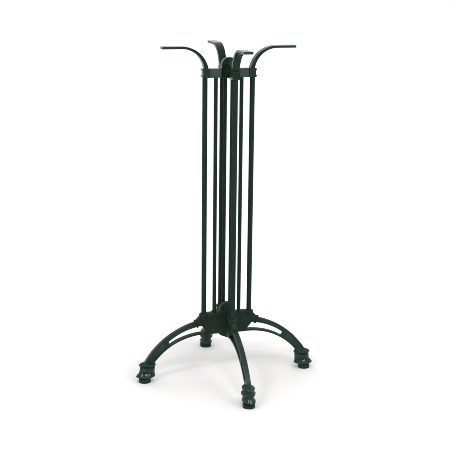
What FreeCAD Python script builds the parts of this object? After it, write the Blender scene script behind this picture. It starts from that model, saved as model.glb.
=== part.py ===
"""Four star table base: cast arched legs, a column of slim posts and four curved top arms.

Frame: +Z up, origin on the floor under the column, legs along +X, +Y, -X and -Y.
Each leg and arm is drawn once in a radial frame (+X outward) and turned about Z.
"""
import FreeCAD, Part
import math
import os
import Sketcher

Vector = FreeCAD.Vector
Rotation = FreeCAD.Rotation
Placement = FreeCAD.Placement

# Driving dimensions in millimetres (angles in degrees)
DRIVING = {
    # whole base
    "table_height": 1083,
    "foot_circle": 274,
    "arm_reach": 213.5,
    # column posts and their spigots
    "outer_post_ring": 76.5,
    "outer_post_radius": 8,
    "outer_spigot_radius": 5,
    "inner_post_ring": 41.5,
    "inner_post_radius": 6,
    "inner_spigot_radius": 3.5,
    "spigot_length": 14,
    "spigot_clearance": 0.1,
    # hub web, collar web, the round bosses on them and the flanges of the front and back castings
    "hub_top": 221,
    "hub_bottom": 149,
    "web_thickness": 18,
    "arm_rise": 68.5,
    "collar_height": 28,
    "eye_radius": 25,
    "eye_rise": 7,
    "collar_eye_rise": 9.5,
    "lower_eye_radius": 38,
    "lower_eye_rise": 25,
    "flange_thickness": 8,
    "lug_radius": 14,
    "lug_rise": 12.5,
    # tie bolts, nuts and washers
    "bolt_radius": 4,
    "bolt_clearance": 0.25,
    "bolt_rise": 15,
    "bolt_drop": 4,
    "bolt_stub": 2,
    "head_corner_radius": 7.5,
    "head_height": 5.3,
    "nut_height": 6.5,
    "washer_radius": 8,
    "washer_thickness": 1.6,
    "relief_margin": 1.5,
    # arched leg
    "leg_thickness": 14.5,
    "panel_thickness": 9.5,
    "rim_width": 5,
    "arch_top_radius": 278,
    "arch_under_radius": 211,
    "arch_root_reach": 33.5,
    "arch_root_drop": 30.3,
    "arch_under_start": 72,
    "shoulder_reach": 8,
    "shoulder_low_reach": 14.5,
    "shoulder_drop": 11,
    "leg_inner_inset": 30,
    "leg_inner_lift": 5.5,
    "leg_outer_reach": 1,
    "leg_outer_lift": 8.5,
    "leg_sink": 5.5,
    "leg_sink_inner": 26,
    "leg_sink_outer": 8,
    "lower_bar_depth": 6.7,
    "upper_bar_depth": 17.5,
    "window_top_radius": 215,
    "window_inner_ring": 66,
    "window_slant": 19,
    "window_outer_ring": 190,
    "panel_inner_ring": 208,
    "panel_foot_gap": 12,
    # rings at the post base and at the root of the leg
    "base_ring_radius": 9.2,
    "base_ring_tube": 6.3,
    "base_ring_drop": 6.5,
    "base_boss_radius": 12,
    "base_boss_depth": 13.5,
    "bead_reach": 26,
    "bead_depth": 7.5,
    "bead_long": 15.5,
    "bead_wide": 11,
    "bead_half_thickness": 5.5,
    "bead_slope": 24,
    # lobed foot, section by section from the pad up: rise, inward shift, half length, half width
    "sole_rise": 0, "sole_shift": 2, "sole_long": 20, "sole_wide": 17,
    "flare_rise": 6.5, "flare_shift": 3, "flare_long": 32, "flare_wide": 21.2,
    "spur_rise": 3.5, "spur_shift": 3.8, "spur_long": 30.2, "spur_wide": 21,
    "ankle_rise": 9, "ankle_shift": 7, "ankle_long": 26.3, "ankle_wide": 14.5,
    "calf_rise": 7.5, "calf_shift": 8, "calf_long": 25, "calf_wide": 22.3,
    "bulge_rise": 5.5, "bulge_shift": 8.7, "bulge_long": 24.6, "bulge_wide": 22.6,
    "neck_rise": 7.5, "neck_shift": 9.3, "neck_long": 25.2, "neck_wide": 14,
    "cuff_rise": 5, "cuff_shift": 9, "cuff_long": 28.3, "cuff_wide": 19.8,
    "brow_rise": 4, "brow_shift": 9.5, "brow_long": 26.5, "brow_wide": 19.6,
    "crown_rise": 5.5, "crown_shift": 12, "crown_long": 19.5, "crown_wide": 9,
    # round pad under the foot
    "pad_radius": 19.8,
    "pad_height": 13,
    "pad_edge": 1.5,
    "pad_spigot_radius": 5,
    "pad_spigot_length": 12,
    # curved top arm and its bracket
    "arm_thickness": 7.2,
    "arm_bend_reach": 75.5,
    "arm_convex_radius": 86,
    "arm_concave_radius": 72,
    "arm_root_width": 22.5,
    "arm_tip_width": 29,
    "bracket_width": 23.5,
    "bracket_inner": 12,
    "bracket_outer": 8,
    "lip_radius": 3,
    "lip_inset": 4,
    "screw_inset": 12,
    "screw_radius": 3.25,
    "screw_sink_radius": 6,
    "screw_sink_depth": 3,
}

# Values worked out from the driving dimensions, in the order in which they are needed
DERIVED = {
    "half_web": "web_thickness / 2",
    "flange_face": "half_web + flange_thickness",
    "collar_top": "table_height - arm_rise",
    "collar_bottom": "collar_top - collar_height",
    "post_length": "collar_bottom - hub_top",
    "spigot_start": "hub_top - spigot_length",
    "spigot_span": "post_length + 2 * spigot_length",
    "outer_bore": "outer_spigot_radius + spigot_clearance",
    "inner_bore": "inner_spigot_radius + spigot_clearance",
    "web_span": "outer_post_ring - half_web",
    "hub_height": "hub_top - hub_bottom",
    "base_ring_z": "hub_top - base_ring_drop",
    "base_boss_z": "base_ring_z - base_boss_depth",
    # flange eyes and bolts
    "eye_width": "2 * eye_radius",
    "upper_eye_z": "hub_top + eye_rise",
    "lower_eye_z": "hub_bottom + lower_eye_rise",
    "hub_eye_span": "upper_eye_z - lower_eye_z",
    "collar_eye_z": "collar_top + collar_eye_rise",
    "collar_eye_span": "collar_eye_z - collar_bottom",
    "lug_width": "2 * lug_radius",
    "upper_lug_z": "hub_top + lug_rise",
    "lower_lug_radius": "lug_radius",
    "lower_lug_z": "lower_eye_z - lower_eye_radius + lower_lug_radius",
    "hub_lug_span": "upper_lug_z - lower_lug_z",
    "collar_lug_z": "collar_top + lug_rise",
    "collar_lug_span": "collar_lug_z - collar_bottom",
    "upper_bolt_z": "hub_top + bolt_rise",
    "lower_bolt_z": "hub_bottom - bolt_drop",
    "collar_bolt_z": "collar_top + bolt_rise",
    "bolt_bore": "bolt_radius + bolt_clearance",
    "bolt_tip": "flange_face + washer_thickness + nut_height + bolt_stub",
    "bolt_grip": "flange_face + washer_thickness",
    "bolt_length": "bolt_grip + bolt_tip",
    "head_start": "bolt_grip + head_height",
    "relief_radius": "washer_radius + relief_margin",
    "relief_span": "bolt_tip - flange_face + relief_margin",
    "washer_bore": "bolt_radius + bolt_clearance",
    "minus_half_web": "-half_web",
    "minus_flange_face": "-flange_face",
    "minus_eye_radius": "-eye_radius",
    "minus_lug_radius": "-lug_radius",
    "minus_bolt_grip": "-bolt_grip",
    "minus_head_start": "-head_start",
    # leg outline corners
    "web_in_bottom_r": "half_web",
    "web_in_bottom_z": "hub_bottom",
    "under_root_r": "arch_under_start",
    "under_root_z": "hub_bottom",
    "under_foot_r": "foot_circle - leg_inner_inset",
    "under_foot_z": "cuff_z + leg_inner_lift",
    "sunk_in_r": "foot_circle - leg_sink_inner",
    "sunk_in_z": "cuff_z - leg_sink",
    "sunk_out_r": "foot_circle + leg_sink_outer",
    "sunk_out_z": "cuff_z - leg_sink",
    "top_foot_r": "foot_circle + leg_outer_reach",
    "top_foot_z": "cuff_z + leg_outer_lift",
    "top_root_r": "outer_post_ring + arch_root_reach",
    "top_root_z": "hub_top - arch_root_drop",
    "shoulder_low_r": "outer_post_ring + shoulder_low_reach",
    "shoulder_low_z": "hub_top - shoulder_drop",
    "shoulder_top_r": "outer_post_ring + shoulder_reach",
    "shoulder_top_z": "hub_top",
    "web_in_top_r": "half_web",
    "web_in_top_z": "hub_top",
    # centres of the two arch edges
    "under_chord": "sqrt((under_foot_r - under_root_r)^2 + (under_foot_z - under_root_z)^2)",
    "under_sag": "sqrt(arch_under_radius^2 - under_chord^2 / 4) / under_chord",
    "under_centre_r": "(under_root_r + under_foot_r) / 2 + under_sag * (under_foot_z - under_root_z)",
    "under_centre_z": "(under_root_z + under_foot_z) / 2 - under_sag * (under_foot_r - under_root_r)",
    "top_chord": "sqrt((top_foot_r - top_root_r)^2 + (top_foot_z - top_root_z)^2)",
    "top_sag": "sqrt(arch_top_radius^2 - top_chord^2 / 4) / top_chord",
    "top_centre_r": "(top_root_r + top_foot_r) / 2 + top_sag * (top_foot_z - top_root_z)",
    "top_centre_z": "(top_root_z + top_foot_z) / 2 - top_sag * (top_foot_r - top_root_r)",
    # crescent window between the two bars of the leg
    "window_under_radius": "arch_under_radius + lower_bar_depth",
    "win_low_in_r": "window_inner_ring",
    "win_low_in_z": "under_centre_z + sqrt(window_under_radius^2 - (win_low_in_r - under_centre_r)^2)",
    "win_low_out_r": "window_outer_ring",
    "win_low_out_z": "under_centre_z + sqrt(window_under_radius^2 - (win_low_out_r - under_centre_r)^2)",
    "win_high_out_r": "window_outer_ring",
    "win_out_lift": "sqrt(arch_top_radius^2 - (win_high_out_r - top_centre_r)^2)",
    "win_high_out_z": "top_centre_z + win_out_lift - upper_bar_depth",
    "win_high_in_r": "window_inner_ring + window_slant",
    "win_in_lift": "sqrt(arch_top_radius^2 - (win_high_in_r - top_centre_r)^2)",
    "win_high_in_z": "top_centre_z + win_in_lift - upper_bar_depth",
    "window_end_radius": "0.55 * (win_high_out_z - win_low_out_z)",
    # sunk panel in the solid part of the leg
    "panel_under_radius": "arch_under_radius + rim_width",
    "panel_top_radius": "arch_top_radius - rim_width",
    "pan_low_in_r": "panel_inner_ring",
    "pan_low_in_z": "under_centre_z + sqrt(panel_under_radius^2 - (pan_low_in_r - under_centre_r)^2)",
    "pan_low_out_z": "under_foot_z + panel_foot_gap",
    "pan_low_out_r": "under_centre_r + sqrt(panel_under_radius^2 - (pan_low_out_z - under_centre_z)^2)",
    "pan_high_out_z": "top_foot_z + panel_foot_gap",
    "pan_high_out_r": "top_centre_r + sqrt(panel_top_radius^2 - (pan_high_out_z - top_centre_z)^2)",
    "pan_high_in_r": "panel_inner_ring",
    "pan_high_in_z": "top_centre_z + sqrt(panel_top_radius^2 - (pan_high_in_r - top_centre_r)^2)",
    # thick web between the hub centre and the window
    "web_out_bottom_r": "window_inner_ring - rim_width",
    "web_out_bottom_z": "hub_bottom",
    "web_out_mid_r": "window_inner_ring - rim_width",
    "web_out_mid_z": "win_low_in_z",
    "web_out_high_r": "outer_post_ring",
    "web_out_high_z": "win_high_in_z",
    "web_out_top_r": "outer_post_ring",
    "web_out_top_z": "hub_top",
    # bead at the root of the leg
    "bead_r": "outer_post_ring + bead_reach",
    "bead_z": "top_centre_z + sqrt(arch_top_radius^2 - (bead_r - top_centre_r)^2) - bead_depth",
    "bead_turn": "90 + bead_slope",
    # pad under the foot
    "pad_bore": "pad_spigot_radius + spigot_clearance",
    "pad_bore_depth": "pad_spigot_length + spigot_clearance",
    "pad_rim_low": "pad_height - pad_edge",
    "pad_edge_radius": "pad_radius - pad_edge",
    "pad_spigot_top": "pad_height + pad_spigot_length",
    # arm strip
    "arm_under_z": "table_height - arm_thickness",
    "bend_r": "outer_post_ring + arm_bend_reach",
    "root_in_r": "bend_r - arm_convex_radius",
    "root_in_z": "table_height - arm_convex_radius",
    "bend_top_r": "bend_r",
    "bend_top_z": "table_height",
    "tip_top_r": "arm_reach",
    "tip_top_z": "table_height",
    "tip_low_r": "arm_reach",
    "tip_low_z": "arm_under_z",
    "bend_low_r": "bend_r",
    "bend_low_z": "arm_under_z",
    "root_out_r": "bend_r - arm_concave_radius",
    "root_out_z": "arm_under_z - arm_concave_radius",
    "half_root_width": "arm_root_width / 2",
    "half_tip_width": "arm_tip_width / 2",
    "minus_half_root_width": "-half_root_width",
    "minus_half_tip_width": "-half_tip_width",
    "bracket_start": "outer_post_ring - bracket_inner",
    "bracket_end": "outer_post_ring + bracket_outer",
    "bracket_depth": "bracket_inner + bracket_outer",
    "minus_half_bracket": "-bracket_width / 2",
    "low_lip_z": "collar_bottom + lip_inset",
    "high_lip_z": "collar_top - lip_inset",
    "collar_web_span": "bracket_start - half_web",
    "screw_r": "arm_reach - screw_inset",
}

SIDES = {"right": 0, "back": 90, "left": 180, "front": 270}
FOOT_SECTIONS = ("sole", "flare", "spur", "ankle", "calf", "bulge", "neck", "cuff", "brow", "crown")

doc = FreeCAD.newDocument("four_star_table_base")
dims = doc.addObject("Spreadsheet::Sheet", "Dims")


def foot_formulas():
    """Place of each foot section, worked up from the top of the pad."""
    formulas = {}
    below = "pad_height"
    for part in FOOT_SECTIONS:
        formulas[part + "_r"] = "foot_circle - %s_shift" % part
        formulas[part + "_z"] = "%s + %s_rise" % (below, part)
        below = part + "_z"
    return formulas


def fill_sheet():
    """Write the driving and derived values to the sheet, one alias per row."""
    rows = [(alias, str(size)) for alias, size in DRIVING.items()]
    rows += [(alias, "=" + formula) for alias, formula in {**foot_formulas(), **DERIVED}.items()]
    for row, (alias, content) in enumerate(rows, start=1):
        dims.set("A%d" % row, alias)
        dims.set("B%d" % row, content)
        dims.setAlias("B%d" % row, alias)
    doc.recompute()


def value(alias):
    """Number that a cell of the sheet holds."""
    return float(dims.get(alias))


def bind(item, **sizes):
    """Bind properties of an object to cells of the sheet."""
    for prop, alias in sizes.items():
        item.setExpression(prop, "Dims." + alias)


def locate(item, x=None, y=None, z=None):
    """Bind the place of an object to cells of the sheet; a missing one stays at zero."""
    for axis, alias in (("x", x), ("y", y), ("z", z)):
        if alias:
            item.setExpression("Placement.Base." + axis, "Dims." + alias)


AXIS_TURN = {
    "x": Rotation(Vector(0, 1, 0), 90),
    "y": Rotation(Vector(1, 0, 0), -90),
    "z": Rotation(),
}


def primitive(kind, name, sizes, axis="z", x=None, y=None, z=None):
    """Part primitive whose own axis points along a frame axis, from the given place."""
    item = doc.addObject("Part::" + kind, name)
    item.Placement = Placement(Vector(), AXIS_TURN[axis])
    bind(item, **sizes)
    locate(item, x, y, z)
    return item


def rod(name, radius, height, axis="z", **place):
    return primitive("Cylinder", name, {"Radius": radius, "Height": height}, axis, **place)


def block(name, length, width, height, **place):
    return primitive("Box", name, {"Length": length, "Width": width, "Height": height}, **place)


def fuse(name, items):
    if len(items) == 1:
        return group(name, items)
    item = doc.addObject("Part::MultiFuse", name)
    item.Shapes = items
    item.Refine = True
    return item


def group(name, items):
    """Items side by side, each still a solid of its own."""
    item = doc.addObject("Part::Compound", name)
    item.Links = items
    return item


def cut(name, base, tool):
    item = doc.addObject("Part::Cut", name)
    item.Base = base
    item.Tool = tool
    item.Refine = True
    return item


def turn(item, angle):
    """Turn an object of the radial frame to its side of the base."""
    item.Placement = Placement(Vector(), Rotation(Vector(0, 0, 1), angle))
    return item


def edge_between(first, last, radius, bulge):
    """Straight or round edge; the centre of a round one is left (+1) or right (-1) of travel."""
    if radius is None:
        return Part.LineSegment(first, last)
    chord = last - first
    reach = math.sqrt(radius ** 2 - (chord.Length / 2) ** 2)
    centre = (first + last) / 2 + Vector(-chord.y, chord.x, 0) * (bulge * reach / chord.Length)
    start, end = (first, last) if bulge > 0 else (last, first)
    angles = [math.atan2(point.y - centre.y, point.x - centre.x) for point in (start, end)]
    return Part.ArcOfCircle(Part.Circle(centre, Vector(0, 0, 1), radius), *angles)


def draw_loop(sketch, corners):
    """Closed outline through named corners; each entry is (corner, radius alias, bulge)."""
    points = [Vector(value(name + "_r"), value(name + "_z"), 0) for name, _, _ in corners]
    ends = []
    for index, (name, radius, bulge) in enumerate(corners):
        size = value(radius) if radius else None
        edge = edge_between(points[index], points[(index + 1) % len(points)], size, bulge)
        geometry = sketch.addGeometry(edge, False)
        ends.append((geometry, 1, 2) if bulge >= 0 else (geometry, 2, 1))
    for index, (name, radius, bulge) in enumerate(corners):
        geometry, start, end = ends[index]
        following, next_start, _ = ends[(index + 1) % len(ends)]
        sketch.addConstraint(Sketcher.Constraint("Coincident", geometry, end, following, next_start))
        pin(sketch, "DistanceX", name + "_r", -1, 1, geometry, start)
        pin(sketch, "DistanceY", name + "_z", -1, 1, geometry, start)
        if radius:
            pin(sketch, "Radius", radius, geometry)


def pin(sketch, kind, alias, *places):
    """Dimension in a sketch that follows a cell of the sheet."""
    index = sketch.addConstraint(Sketcher.Constraint(kind, *places, value(alias)))
    sketch.setExpression("Constraints[%d]" % index, "Dims." + alias)


def padded(body, name, thickness, *loops):
    """Plate in the radial plane, padded to both sides, with any further loops as openings."""
    sketch = body.newObject("Sketcher::SketchObject", name + "_outline")
    plane = [item for item in body.Origin.OriginFeatures if item.Role == "XZ_Plane"][0]
    sketch.AttachmentSupport = [(plane, "")]
    sketch.MapMode = "FlatFace"
    for loop in loops:
        draw_loop(sketch, loop)
    doc.recompute()
    pad = body.newObject("PartDesign::Pad", name)
    pad.Profile = sketch
    pad.SideType = "Symmetric"
    bind(pad, Length=thickness)
    doc.recompute()


# Outlines in the radial plane
LEG_OUTLINE = (
    ("web_in_bottom", None, 0),
    ("under_root", "arch_under_radius", -1),
    ("under_foot", None, 0),
    ("sunk_in", None, 0),
    ("sunk_out", None, 0),
    ("top_foot", "arch_top_radius", 1),
    ("top_root", None, 0),
    ("shoulder_low", None, 0),
    ("shoulder_top", None, 0),
    ("web_in_top", None, 0),
)
WINDOW_OUTLINE = (
    ("win_low_in", "window_under_radius", -1),
    ("win_low_out", "window_end_radius", 1),
    ("win_high_out", "window_top_radius", 1),
    ("win_high_in", None, 0),
)
PANEL_OUTLINE = (
    ("pan_low_in", "panel_under_radius", -1),
    ("pan_low_out", None, 0),
    ("pan_high_out", "panel_top_radius", 1),
    ("pan_high_in", None, 0),
)
WEB_OUTLINE = (
    ("web_in_bottom", None, 0),
    ("web_out_bottom", None, 0),
    ("web_out_mid", None, 0),
    ("web_out_high", None, 0),
    ("web_out_top", None, 0),
    ("web_in_top", None, 0),
)
ARM_OUTLINE = (
    ("root_in", "arm_convex_radius", -1),
    ("bend_top", None, 0),
    ("tip_top", None, 0),
    ("tip_low", None, 0),
    ("bend_low", "arm_concave_radius", 1),
    ("root_out", None, 0),
)


def lobed_foot(side):
    """Cast foot: oval sections that swell and narrow from the sole to the crown."""
    sections = []
    for part in FOOT_SECTIONS:
        oval = doc.addObject("Part::Ellipse", "foot_%s_%s" % (part, side))
        bind(oval, MajorRadius=part + "_long", MinorRadius=part + "_wide")
        locate(oval, x=part + "_r", z=part + "_z")
        sections.append(oval)
    foot = doc.addObject("Part::Loft", "foot_" + side)
    foot.Sections = sections
    foot.Solid = True
    foot.Ruled = True
    return foot


def leg_blank(side):
    """Leg casting before drilling: arch with window and sunk panel, web, rings and foot."""
    arch = doc.addObject("PartDesign::Body", "arch_" + side)
    padded(arch, "arch_panel_" + side, "panel_thickness", LEG_OUTLINE, WINDOW_OUTLINE)
    padded(arch, "arch_rim_" + side, "leg_thickness", LEG_OUTLINE, WINDOW_OUTLINE, PANEL_OUTLINE)
    padded(arch, "hub_web_" + side, "web_thickness", WEB_OUTLINE)
    ring_sizes = {"Radius1": "base_ring_radius", "Radius2": "base_ring_tube"}
    ring = primitive("Torus", "base_ring_" + side, ring_sizes, x="outer_post_ring", z="base_ring_z")
    core = rod("base_core_" + side, "base_ring_radius", "base_ring_drop",
               x="outer_post_ring", z="base_ring_z")
    boss = rod("base_boss_" + side, "base_boss_radius", "base_boss_depth",
               x="outer_post_ring", z="base_boss_z")
    bead = doc.addObject("Part::Ellipsoid", "root_bead_" + side)
    bind(bead, Radius1="bead_half_thickness", Radius2="bead_long", Radius3="bead_wide")
    bead.Placement = Placement(Vector(), Rotation(Vector(0, 1, 0), value("bead_turn")))
    bead.setExpression("Placement.Rotation.Angle", "Dims.bead_turn")
    locate(bead, x="bead_r", z="bead_z")
    return [arch, ring, core, boss, bead, lobed_foot(side)]


def leg_drills(side):
    """Bores for the two posts above and the pad below."""
    return [
        rod("outer_bore_low_" + side, "outer_bore", "spigot_length", x="outer_post_ring", z="spigot_start"),
        rod("inner_bore_low_" + side, "inner_bore", "spigot_length", x="inner_post_ring", z="spigot_start"),
        rod("pad_bore_" + side, "pad_bore", "pad_bore_depth", x="foot_circle", z="pad_height"),
    ]


def arm_blank(side):
    """Arm casting before drilling: collar web, post bracket with two lips, curved strip."""
    strip = doc.addObject("PartDesign::Body", "strip_" + side)
    padded(strip, "strip_pad_" + side, "arm_tip_width", ARM_OUTLINE)
    taper = doc.addObject("Part::Wedge", "strip_taper_" + side)
    taper.Placement = Placement(Vector(), Rotation(Vector(0, 0, 1), -90))
    bind(taper, Ymin="bracket_start", Ymax="arm_reach", Zmin="collar_bottom", Zmax="table_height",
         Z2min="collar_bottom", Z2max="table_height", Xmin="minus_half_root_width", Xmax="half_root_width",
         X2min="minus_half_tip_width", X2max="half_tip_width")
    arm = doc.addObject("Part::Common", "arm_strip_" + side)
    arm.Base = strip
    arm.Tool = taper
    web = block("collar_web_" + side, "collar_web_span", "web_thickness", "collar_height",
                x="half_web", y="minus_half_web", z="collar_bottom")
    bracket = block("bracket_" + side, "bracket_depth", "bracket_width", "collar_height",
                    x="bracket_start", y="minus_half_bracket", z="collar_bottom")
    lips = [rod("%s_lip_%s" % (level, side), "lip_radius", "bracket_width", "y",
                x="bracket_end", y="minus_half_bracket", z=level + "_lip_z") for level in ("low", "high")]
    return [arm, web, bracket] + lips


def arm_drills(side):
    """Bores for the two posts below and the countersunk screw hole near the tip."""
    sink_sizes = {"Radius1": "screw_sink_radius", "Radius2": "screw_radius", "Height": "screw_sink_depth"}
    return [
        rod("outer_bore_high_" + side, "outer_bore", "spigot_length", x="outer_post_ring", z="collar_bottom"),
        rod("inner_bore_high_" + side, "inner_bore", "spigot_length", x="inner_post_ring", z="collar_bottom"),
        rod("screw_hole_" + side, "screw_radius", "arm_thickness", x="screw_r", z="arm_under_z"),
        primitive("Cone", "screw_sink_" + side, sink_sizes, x="screw_r", z="arm_under_z"),
    ]


def hub_plate(side, kind, start, thickness):
    """Round-ended plate across the hub, square to the radial direction: the eye or the smaller lug."""
    radius = kind + "_radius"
    return [
        rod("hub_%s_high_%s" % (kind, side), radius, thickness, "x", x=start, z="upper_%s_z" % kind),
        rod("hub_%s_low_%s" % (kind, side), "lower_" + radius, thickness, "x",
            x=start, z="lower_%s_z" % kind),
        block("hub_%s_plate_%s" % (kind, side), thickness, kind + "_width", "hub_%s_span" % kind,
              x=start, y="minus_" + radius, z="lower_%s_z" % kind),
    ]


def collar_plate(side, kind, start, thickness):
    """Round-topped plate across the collar, square to the radial direction: the eye or the lug."""
    radius = kind + "_radius"
    return [
        rod("collar_%s_%s" % (kind, side), radius, thickness, "x", x=start, z="collar_%s_z" % kind),
        block("collar_%s_plate_%s" % (kind, side), thickness, kind + "_width", "collar_%s_span" % kind,
              x=start, y="minus_" + radius, z="collar_bottom"),
    ]


def hub_bolt_bores(side, start, length):
    return [rod("%s_hub_bore_%s" % (level, side), "bolt_bore", length, "x", x=start, z=level + "_bolt_z")
            for level in ("upper", "lower")]


def collar_bolt_bore(side, start, length):
    return [rod("collar_bore_" + side, "bolt_bore", length, "x", x=start, z="collar_bolt_z")]


def placed(name, items, angle):
    """Fuse items of the radial frame and turn them to their side."""
    return turn(fuse(name, items), angle)


def side_casting(name, blank, drills, plate, bores):
    """Left and right halves and the plate between them, cast as one piece."""
    halves = [placed("%s_half_%s" % (name, side), blank(side), SIDES[side]) for side in ("right", "left")]
    eyes = plate("middle", "eye", "minus_half_web", "web_thickness")
    centre = placed(name + "_centre", eyes, SIDES["back"])
    tools = [placed("%s_drills_%s" % (name, side), drills(side), SIDES[side]) for side in ("right", "left")]
    holes = bores("middle", "minus_half_web", "web_thickness")
    tools.append(placed(name + "_bolt_bores", holes, SIDES["back"]))
    return cut(name, fuse(name + "_blank", halves + [centre]), fuse(name + "_tools", tools))


def single_casting(name, side, blank, drills, plate, bores, relief):
    """Front or back casting with its flange against the side casting."""
    solid = fuse(name + "_blank", blank(side) + plate(side, "lug", "half_web", "flange_thickness"))
    tools = fuse(name + "_tools", drills(side) + bores(side, "half_web", "flange_thickness") + relief)
    return turn(cut(name, solid, tools), SIDES[side])


def castings():
    nodes = {}
    nodes["side_leg_frame"] = side_casting("side_leg_frame", leg_blank, leg_drills,
                                           hub_plate, hub_bolt_bores)
    nodes["side_arm_frame"] = side_casting("side_arm_frame", arm_blank, arm_drills,
                                           collar_plate, collar_bolt_bore)
    for side in ("front", "back"):
        relief = [rod("nut_relief_" + side, "relief_radius", "relief_span", "x",
                      x="flange_face", z="lower_bolt_z")]
        nodes[side + "_leg"] = single_casting(side + "_leg", side, leg_blank, leg_drills, hub_plate,
                                              hub_bolt_bores, relief)
        nodes[side + "_arm"] = single_casting(side + "_arm", side, arm_blank, arm_drills, collar_plate,
                                              collar_bolt_bore, [])
    return nodes


def post(kind, side):
    """Round post with a thinner spigot at each end."""
    ring = kind + "_post_ring"
    shaft = rod("%s_shaft_%s" % (kind, side), kind + "_post_radius", "post_length", x=ring, z="hub_top")
    spigot = rod("%s_spigot_%s" % (kind, side), kind + "_spigot_radius", "spigot_span",
                 x=ring, z="spigot_start")
    return placed("%s_post_%s" % (kind, side), [shaft, spigot], SIDES[side])


def foot_pad(side):
    """Round pad with eased edges and a spigot that fills the bore in the foot."""
    edge_sizes = {"Radius1": "pad_edge_radius", "Radius2": "pad_radius", "Height": "pad_edge"}
    low_edge = primitive("Cone", "pad_low_edge_" + side, edge_sizes, x="foot_circle")
    rim = rod("pad_rim_" + side, "pad_radius", "pad_rim_low", x="foot_circle")
    edge_sizes = {"Radius1": "pad_radius", "Radius2": "pad_edge_radius", "Height": "pad_edge"}
    high_edge = primitive("Cone", "pad_high_edge_" + side, edge_sizes, x="foot_circle", z="pad_rim_low")
    spigot = rod("pad_spigot_" + side, "pad_spigot_radius", "pad_spigot_top", x="foot_circle")
    return placed("foot_pad_" + side, [rim, low_edge, high_edge, spigot], SIDES[side])


def hexagon(name, height, start, level):
    """Hexagonal prism along Y."""
    sizes = {"Circumradius": "head_corner_radius", "Height": height}
    item = primitive("Prism", name, sizes, "y", y=start, z=level + "_bolt_z")
    item.Polygon = 6
    return item


def ring_of(name, outer, inner, thickness, start, level):
    """Flat ring along Y."""
    solid = rod(name + "_disc", outer, thickness, "y", y=start, z=level + "_bolt_z")
    hole = rod(name + "_hole", inner, thickness, "y", y=start, z=level + "_bolt_z")
    return cut(name, solid, hole)


def fasteners():
    """Tie bolts from the front, with a washer at each end and a nut at the back."""
    bolts, nuts, washers = [], [], []
    for level in ("upper", "lower", "collar"):
        head = hexagon("bolt_head_" + level, "head_height", "minus_head_start", level)
        shank = rod("bolt_shank_" + level, "bolt_radius", "bolt_length", "y",
                    y="minus_bolt_grip", z=level + "_bolt_z")
        bolts.append(fuse("bolt_" + level, [head, shank]))
        solid = hexagon("nut_solid_" + level, "nut_height", "bolt_grip", level)
        hole = rod("nut_hole_" + level, "bolt_radius", "nut_height", "y", y="bolt_grip", z=level + "_bolt_z")
        nuts.append(cut("nut_" + level, solid, hole))
        for end, start in (("front", "minus_bolt_grip"), ("back", "flange_face")):
            washers.append(ring_of("washer_%s_%s" % (end, level), "washer_radius", "washer_bore",
                                   "washer_thickness", start, level))
    nodes = {}
    for name, items in (("tie_bolts", bolts), ("tie_nuts", nuts), ("tie_washers", washers)):
        nodes[name] = group(name, items)
    return nodes


def build():
    fill_sheet()
    nodes = castings()
    for side in SIDES:
        for kind in ("outer", "inner"):
            nodes["%s_post_%s" % (kind, side)] = post(kind, side)
        nodes["foot_pad_" + side] = foot_pad(side)
    nodes.update(fasteners())
    doc.recompute()
    return nodes


def check(nodes):
    """Stop before writing if any object failed or any sub-part is not a sound solid."""
    for item in doc.Objects:
        if "Invalid" in item.State or "Error" in item.State:
            raise RuntimeError("failed object: " + item.Name)
    for name, item in nodes.items():
        if item.Shape.isNull() or not item.Shape.isValid() or not item.Shape.Solids:
            raise RuntimeError("unsound sub-part: " + name)


def export(nodes):
    os.makedirs("parts", exist_ok=True)
    for name, item in nodes.items():
        item.Label = name
        item.Shape.exportStep("parts/%s.step" % name)
        print("%-20s solids %d  volume %.0f mm3" % (name, len(item.Shape.Solids), item.Shape.Volume))


sub_parts = build()
check(sub_parts)
export(sub_parts)
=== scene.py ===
"""Looks of the four star table base: green enamel on cast and drawn metal, white studio."""
import math

import bpy
from mathutils import Matrix, Vector


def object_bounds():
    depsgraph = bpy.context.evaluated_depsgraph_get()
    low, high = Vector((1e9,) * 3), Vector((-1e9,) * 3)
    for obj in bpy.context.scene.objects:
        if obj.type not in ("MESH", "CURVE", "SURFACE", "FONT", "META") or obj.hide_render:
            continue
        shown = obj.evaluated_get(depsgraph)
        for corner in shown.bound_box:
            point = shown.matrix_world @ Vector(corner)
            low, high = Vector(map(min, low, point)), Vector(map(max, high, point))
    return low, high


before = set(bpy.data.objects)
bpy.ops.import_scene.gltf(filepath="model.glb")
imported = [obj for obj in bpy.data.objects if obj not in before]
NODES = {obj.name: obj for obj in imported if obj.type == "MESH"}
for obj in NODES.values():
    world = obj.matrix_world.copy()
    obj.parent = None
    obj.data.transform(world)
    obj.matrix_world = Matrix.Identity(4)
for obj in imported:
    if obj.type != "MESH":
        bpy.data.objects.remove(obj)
cad_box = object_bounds()
low, high = cad_box
HEIGHT = high[2] - low[2]

# View of the photograph, with lengths as shares of the base's height
VIEW_AZIMUTH = math.radians(-15.4)
VIEW_PAN = math.radians(0.126)
VIEW_PITCH = math.radians(14.31)
VIEW_ROLL = math.radians(0.58)
VIEW_DISTANCE = 3.0837 * HEIGHT
VIEW_HEIGHT = 1.2598 * HEIGHT
VIEW_LENS = 85.74
SENSOR = 36.0
PIXEL_FILTER = 0.85

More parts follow.
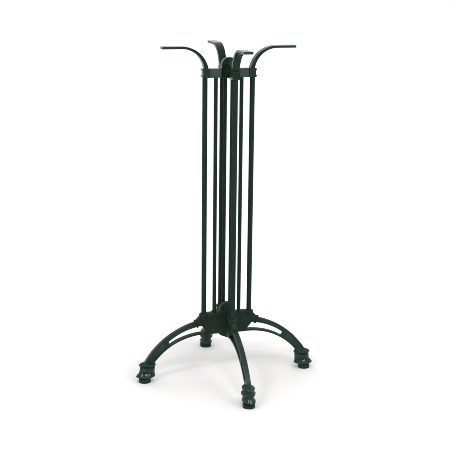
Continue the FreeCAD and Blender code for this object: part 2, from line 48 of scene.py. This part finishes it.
# Places where the castings' painted shade, painted light, painted reflection and roughness change, and the
# length over which they do, in metres
WEB_INNER = 0.027
WEB_OUTER = 0.062
WEB_HALF = 0.011
WEB_FADE = 0.002
COLLAR_LOW = 0.9 * HEIGHT
ARM_LOW = 0.938 * HEIGHT
ARM_RISE_FADE = 0.015
ARM_REACH_FADE = 0.01
HUB_REACH = 0.085
HUB_REACH_FADE = 0.055
HUB_LOW = 0.12 * HEIGHT
HUB_HIGH = 0.3 * HEIGHT
HUB_HIGH_FADE = 0.02
FOOT_HIGH = 0.055 * HEIGHT
FOOT_FADE = 0.008

# Enamel colours, linear
GREEN_DEEP = (0.0060, 0.0172, 0.0130, 1)
GREEN_MID = (0.0080, 0.0216, 0.0166, 1)
# Paler green: worn paint on edges, and painted light that lifts the shade in hollows
GREEN_WORN_AND_PAINTED_LIGHT = (0.045, 0.080, 0.066, 1)
POST_DEEP = (0.0027, 0.0074, 0.0057, 1)
POST_MID = (0.0052, 0.0124, 0.0098, 1)
PAD_DEEP = (0.0080, 0.0200, 0.0160, 1)
PAD_MID = (0.0130, 0.0310, 0.0250, 1)
# Bluish-grey painted reflection on the collar's side webs
WEB_REFLECTION_DEEP = (0.026, 0.038, 0.038, 1)
WEB_REFLECTION_MID = (0.049, 0.063, 0.066, 1)
MIRROR_TINT = (0.80, 1.0, 0.92, 1)

# Factors on the castings' colour: painted shade at the hub and on the arms, painted light on the feet; and
# the roughness that the hub has beyond the rest
HUB_PAINTED_SHADE = (0.68, 0.64, 0.56, 1)
ARM_PAINTED_SHADE = (0.50, 0.64, 0.60, 1)
FOOT_PAINTED_LIGHT = (1.55, 1.36, 1.42, 1)
HUB_DULL = 0.4

# Worn edges: span of the surface's bend and the share of worn colour at its far end. Hollows: span of the
# bend and the share of pale colour at its near end, painted light that lifts the shade in creases
EDGE_BEND = (0.515, 0.57)
EDGE_WEAR = 0.3
HOLLOW_BEND = (0.44, 0.49)
HOLLOW_PAINTED_LIGHT = 0.6

# Scales of the paint's patterns, depths of its relief in metres and swing of its roughness
CLOUD_SCALE = 14.0
FLECK_SCALE = 420.0
PITTING_SCALE = 260.0
PITTING_DEPTH = 0.0006
PEEL_SCALE = 900.0
PEEL_DEPTH = 0.0002
PEEL_SHARE = 0.6
ROUGH_BELOW = 0.04
ROUGH_ABOVE = 0.06
PAINT_IOR = 1.5

# Edge treatment of the nodes
WELD_REACH = 0.00001
EDGE_ANGLE = math.radians(38)
EDGE_SEGMENTS = 2

# Floor: width, colours (the near one a painted shadow), and the distances from the axis between which the
# painted shadow fades to white, in metres
FLOOR_WIDTH = 80.0
FLOOR_PAINTED_SHADOW = (0.757, 0.748, 0.746, 1)
FLOOR_FAR = (0.98, 0.98, 0.98, 1)
FLOOR_INNER = 0.25
FLOOR_OUTER = 0.75

# Light of the room at the horizon and its rise to the zenith
ROOM_LOW = 0.35
ROOM_RISE = 1.02
WHITE = (1, 1, 1, 1)

# Lamps: place, width and height in metres, and power in watts
LAMPS = {
    "left_key": ((-1.70, -1.40, 2.25), 0.45, 0.3, 16),
    "front_key": ((-0.15, -2.05, 2.40), 0.45, 0.3, 16),
    "right_fill": ((1.20, -1.86, 2.17), 1.1, 0.3, 16),
}
LAMP_AIM = Vector((0, 0, 0))


def add_node(tree, kind, inputs=None, **settings):
    """New node with its settings, its inputs linked to sockets or set to values."""
    node = tree.nodes.new(kind)
    for key, setting in settings.items():
        setattr(node, key, setting)
    for key, source in (inputs or {}).items():
        if isinstance(source, bpy.types.NodeSocket):
            tree.links.new(source, node.inputs[key])
        else:
            node.inputs[key].default_value = source
    return node


class Shader:
    """Small helper that adds and links the nodes of one material."""

    def __init__(self, name):
        self.material = bpy.data.materials.new(name)
        self.material.use_nodes = True
        self.tree = self.material.node_tree
        self.surface = self.tree.nodes["Principled BSDF"]
        self.place = self.add("ShaderNodeTexCoord").outputs["Object"]

    def add(self, kind, inputs=None, **settings):
        return add_node(self.tree, kind, inputs, **settings)

    def link(self, source, name):
        self.tree.links.new(source, self.surface.inputs[name])

    def noise(self, scale, detail, roughness=0.55):
        inputs = {"Vector": self.place, "Scale": scale, "Detail": detail, "Roughness": roughness}
        return self.add("ShaderNodeTexNoise", inputs).outputs["Fac"]

    def ramp(self, source, first, last):
        """Colour ramp between two stops of (position, colour)."""
        node = self.add("ShaderNodeValToRGB", {"Fac": source})
        for element, (position, colour) in zip(node.color_ramp.elements, (first, last)):
            element.position = position
            element.color = colour
        return node.outputs["Color"]

    def mix(self, factor, first, second, blend="MIX"):
        inputs = {0: factor, 6: first, 7: second}
        return self.add("ShaderNodeMix", inputs, data_type="RGBA", blend_type=blend).outputs[2]

    def span(self, source, low_in, high_in, low_out, high_out):
        inputs = {0: source, 1: low_in, 2: high_in, 3: low_out, 4: high_out}
        return self.add("ShaderNodeMapRange", inputs).outputs[0]

    def after(self, source, start, fade):
        """Zero up to the start, growing to one over the fade."""
        return self.span(source, start, start + fade, 0.0, 1.0)

    def before(self, source, start, fade):
        """One up to the start, falling to zero over the fade."""
        return self.span(source, start, start + fade, 1.0, 0.0)

    def product(self, first, *others):
        for other in others:
            first = self.add("ShaderNodeMath", {0: first, 1: other}, operation="MULTIPLY").outputs[0]
        return first

    def spot(self, axis):
        return self.add("ShaderNodeSeparateXYZ", {"Vector": self.place}).outputs[axis]

    def reach(self):
        """Distance from the axis of the column."""
        flat = self.add("ShaderNodeVectorMath", {0: self.place, 1: (1, 1, 0)}, operation="MULTIPLY")
        return self.add("ShaderNodeVectorMath", {0: flat.outputs[0]}, operation="LENGTH").outputs["Value"]

    def collar_web(self):
        """One on the side webs of the collar, between the eye and the post brackets, where the painted
        reflection goes, and zero elsewhere.
        """
        depth = self.add("ShaderNodeMath", {0: self.spot("Y")}, operation="ABSOLUTE").outputs[0]
        return self.product(
            self.after(self.reach(), WEB_INNER, WEB_FADE),
            self.before(self.reach(), WEB_OUTER, WEB_FADE),
            self.before(depth, WEB_HALF, WEB_FADE),
            self.after(self.spot("Z"), COLLAR_LOW, WEB_FADE),
        )

    def arms(self):
        """One on the arms above the collar and zero elsewhere; the mask of their painted shade."""
        above = self.after(self.spot("Z"), ARM_LOW, ARM_RISE_FADE)
        return self.product(above, self.after(self.reach(), WEB_OUTER, ARM_REACH_FADE))

    def feet(self):
        """One on the lobed feet and zero above them; the mask of their painted light."""
        return self.before(self.spot("Z"), FOOT_HIGH, FOOT_FADE)

    def hub(self):
        """One on the hub, falling to zero down the legs, and zero on the feet and the arms."""
        below = self.before(self.spot("Z"), HUB_HIGH, HUB_HIGH_FADE)
        return self.product(below, self.after(self.spot("Z"), FOOT_HIGH, HUB_LOW - FOOT_HIGH))

    def relief(self, softness, *layers):
        """Soften edges in the shading, then stack bump layers of (height source, strength, distance)."""
        normal = self.add("ShaderNodeBevel", {"Radius": softness}, samples=4).outputs["Normal"]
        for source, strength, distance in layers:
            inputs = {"Height": source, "Strength": strength, "Distance": distance, "Normal": normal}
            normal = self.add("ShaderNodeBump", inputs).outputs["Normal"]
        self.link(normal, "Normal")


def enamel(name, deep, mid, grain, rough, mirror, softness=0.001, casting=False):
    """Painted metal: clouded colour, thin paint on edges, painted light in hollows, uneven gloss and a fine
    relief; castings also get painted shade at the hub and on the arms, painted light on the feet, a painted
    reflection on the collar webs and a duller hub.
    """
    shader = Shader(name)
    cloud = shader.noise(CLOUD_SCALE, detail=5.0)
    fleck = shader.noise(FLECK_SCALE, detail=2.0)
    colour = shader.ramp(cloud, (0.35, deep), (0.65, mid))
    bend = shader.add("ShaderNodeNewGeometry").outputs["Pointiness"]
    colour = shader.mix(shader.span(bend, *EDGE_BEND, 0.0, EDGE_WEAR), colour, GREEN_WORN_AND_PAINTED_LIGHT)
    # Painted light: paler colour in hollows that lifts the shade of creases
    colour = shader.mix(shader.span(bend, *HOLLOW_BEND, HOLLOW_PAINTED_LIGHT, 0.0), colour, GREEN_WORN_AND_PAINTED_LIGHT)
    roughness = shader.span(fleck, 0.3, 0.7, rough - ROUGH_BELOW, rough + ROUGH_ABOVE)
    if casting:
        # Painted shade: darker colour near the hub and collar at the column's axis
        painted_shade_near_hub = shader.before(shader.reach(), HUB_REACH, HUB_REACH_FADE)
        colour = shader.mix(painted_shade_near_hub, colour, HUB_PAINTED_SHADE, "MULTIPLY")
        # Painted shade: darker colour on the arms above the collar
        colour = shader.mix(shader.arms(), colour, ARM_PAINTED_SHADE, "MULTIPLY")
        # Painted light: lighter colour on the feet
        colour = shader.mix(shader.feet(), colour, FOOT_PAINTED_LIGHT, "MULTIPLY")
        # Painted reflection: bluish-grey sheen on the collar's side webs
        web_reflection = shader.ramp(cloud, (0.4, WEB_REFLECTION_DEEP), (0.6, WEB_REFLECTION_MID))
        colour = shader.mix(shader.collar_web(), colour, web_reflection)
        inputs = {0: shader.hub(), 1: HUB_DULL, 2: roughness}
        roughness = shader.add("ShaderNodeMath", inputs, operation="MULTIPLY_ADD").outputs[0]
    shader.link(colour, "Base Color")
    shader.link(roughness, "Roughness")
    shader.surface.inputs["IOR"].default_value = PAINT_IOR
    shader.surface.inputs["Specular IOR Level"].default_value = mirror
    shader.surface.inputs["Specular Tint"].default_value = MIRROR_TINT
    pitting = shader.noise(PITTING_SCALE, detail=4.0, roughness=0.6)
    peel = shader.noise(PEEL_SCALE, detail=2.0)
    shader.relief(softness, (pitting, grain, PITTING_DEPTH), (peel, grain * PEEL_SHARE, PEEL_DEPTH))
    return shader.material


def dress(names, material, bevel):
    """Give CAD nodes their paint, welded seams and softly rounded edges."""
    for name in names:
        item = NODES[name]
        item.data.materials.clear()
        item.data.materials.append(material)
        weld = item.modifiers.new("weld", "WELD")
        weld.merge_threshold = WELD_REACH
        rounding = item.modifiers.new("rounded_edges", "BEVEL")
        rounding.width = bevel
        rounding.segments = EDGE_SEGMENTS
        rounding.limit_method = "ANGLE"
        rounding.angle_limit = EDGE_ANGLE
        rounding.use_clamp_overlap = True
        item.modifiers.new("even_shading", "WEIGHTED_NORMAL")


def paint():
    """Paint of each kind of node, with the width of its edge rounding in metres."""
    casting = enamel("green_casting", GREEN_DEEP, GREEN_MID, grain=0.12, rough=0.12, mirror=0.19,
                     softness=0.0008, casting=True)
    post = enamel("green_post", POST_DEEP, POST_MID, grain=0.12, rough=0.50, mirror=0.08)
    pad = enamel("green_pad", PAD_DEEP, PAD_MID, grain=0.2, rough=0.28, mirror=0.10)
    bolt = enamel("green_fastener", GREEN_DEEP, GREEN_MID, grain=0.1, rough=0.14, mirror=0.3)
    dress([n for n in NODES if n.endswith(("_frame", "_leg", "_arm"))], casting, bevel=0.0012)
    dress([n for n in NODES if "_post_" in n], post, bevel=0.0004)
    dress([n for n in NODES if n.startswith("foot_pad")], pad, bevel=0.0006)
    dress([n for n in NODES if n.startswith("tie_")], bolt, bevel=0.0005)


def floor():
    """Pale floor that takes the base's shadow, with a painted shadow that darkens its colour near the base
    and grows white away from it.
    """
    half = FLOOR_WIDTH / 2
    corners = [(-half, -half, 0), (half, -half, 0), (half, half, 0), (-half, half, 0)]
    mesh = bpy.data.meshes.new("floor")
    mesh.from_pydata(corners, [], [(0, 1, 2, 3)])
    item = bpy.data.objects.new("floor", mesh)
    item.location = (0, 0, low[2])
    bpy.context.collection.objects.link(item)
    shader = Shader("floor_with_painted_shadow")
    # Painted shadow: the floor's colour is darker near the base and grows white away from it
    away = shader.span(shader.reach(), FLOOR_INNER, FLOOR_OUTER, 0.0, 1.0)
    shader.link(shader.ramp(away, (0.0, FLOOR_PAINTED_SHADOW), (1.0, FLOOR_FAR)), "Base Color")
    shader.surface.inputs["Roughness"].default_value = 1.0
    shader.surface.inputs["Specular IOR Level"].default_value = 0.0
    item.data.materials.append(shader.material)


def surround():
    """White room, also in reflections; the light that it sheds grows towards the zenith."""
    world = bpy.data.worlds.new("studio")
    bpy.context.scene.world = world
    world.use_nodes = True
    tree = world.node_tree
    place = add_node(tree, "ShaderNodeTexCoord").outputs["Generated"]
    rise = add_node(tree, "ShaderNodeSeparateXYZ", {0: place}).outputs["Z"]
    levels = {0: rise, 1: 0.0, 2: 1.0, 3: ROOM_LOW, 4: ROOM_LOW + ROOM_RISE}
    overhead = add_node(tree, "ShaderNodeMapRange", levels).outputs[0]
    choice = add_node(tree, "ShaderNodeBackground", {"Color": WHITE, "Strength": overhead}).outputs[0]
    white = add_node(tree, "ShaderNodeBackground", {"Color": WHITE, "Strength": 1.0}).outputs[0]
    rays = add_node(tree, "ShaderNodeLightPath").outputs
    for ray in ("Is Camera Ray", "Is Glossy Ray", "Is Transmission Ray"):
        choice = add_node(tree, "ShaderNodeMixShader", {0: rays[ray], 1: choice, 2: white}).outputs[0]
    tree.links.new(choice, tree.nodes["World Output"].inputs["Surface"])


def lights():
    """Small soft boxes, all aimed at the foot of the column."""
    for name, (place, width, height, power) in LAMPS.items():
        lamp = bpy.data.lights.new(name, "AREA")
        lamp.shape = "RECTANGLE"
        lamp.size = width
        lamp.size_y = height
        lamp.energy = power
        item = bpy.data.objects.new(name, lamp)
        item.location = place
        item.rotation_euler = (LAMP_AIM - Vector(place)).to_track_quat("-Z", "Y").to_euler()
        bpy.context.collection.objects.link(item)


def camera():
    lens = bpy.data.cameras.new("photo_view")
    lens.lens = VIEW_LENS
    lens.sensor_width = SENSOR
    lens.sensor_fit = "HORIZONTAL"
    item = bpy.data.objects.new("photo_view", lens)
    item.location = (VIEW_DISTANCE * math.sin(VIEW_AZIMUTH), -VIEW_DISTANCE * math.cos(VIEW_AZIMUTH),
                     low[2] + VIEW_HEIGHT)
    heading = Matrix.Rotation(VIEW_AZIMUTH + VIEW_PAN, 4, "Z")
    tilt = Matrix.Rotation(math.pi / 2 - VIEW_PITCH, 4, "X")
    item.rotation_euler = (heading @ tilt @ Matrix.Rotation(VIEW_ROLL, 4, "Z")).to_euler()
    bpy.context.collection.objects.link(item)
    bpy.context.scene.camera = item


paint()
floor()
surround()
lights()
camera()
bpy.context.scene.view_settings.view_transform = "Standard"
bpy.context.scene.cycles.filter_width = PIXEL_FILTER
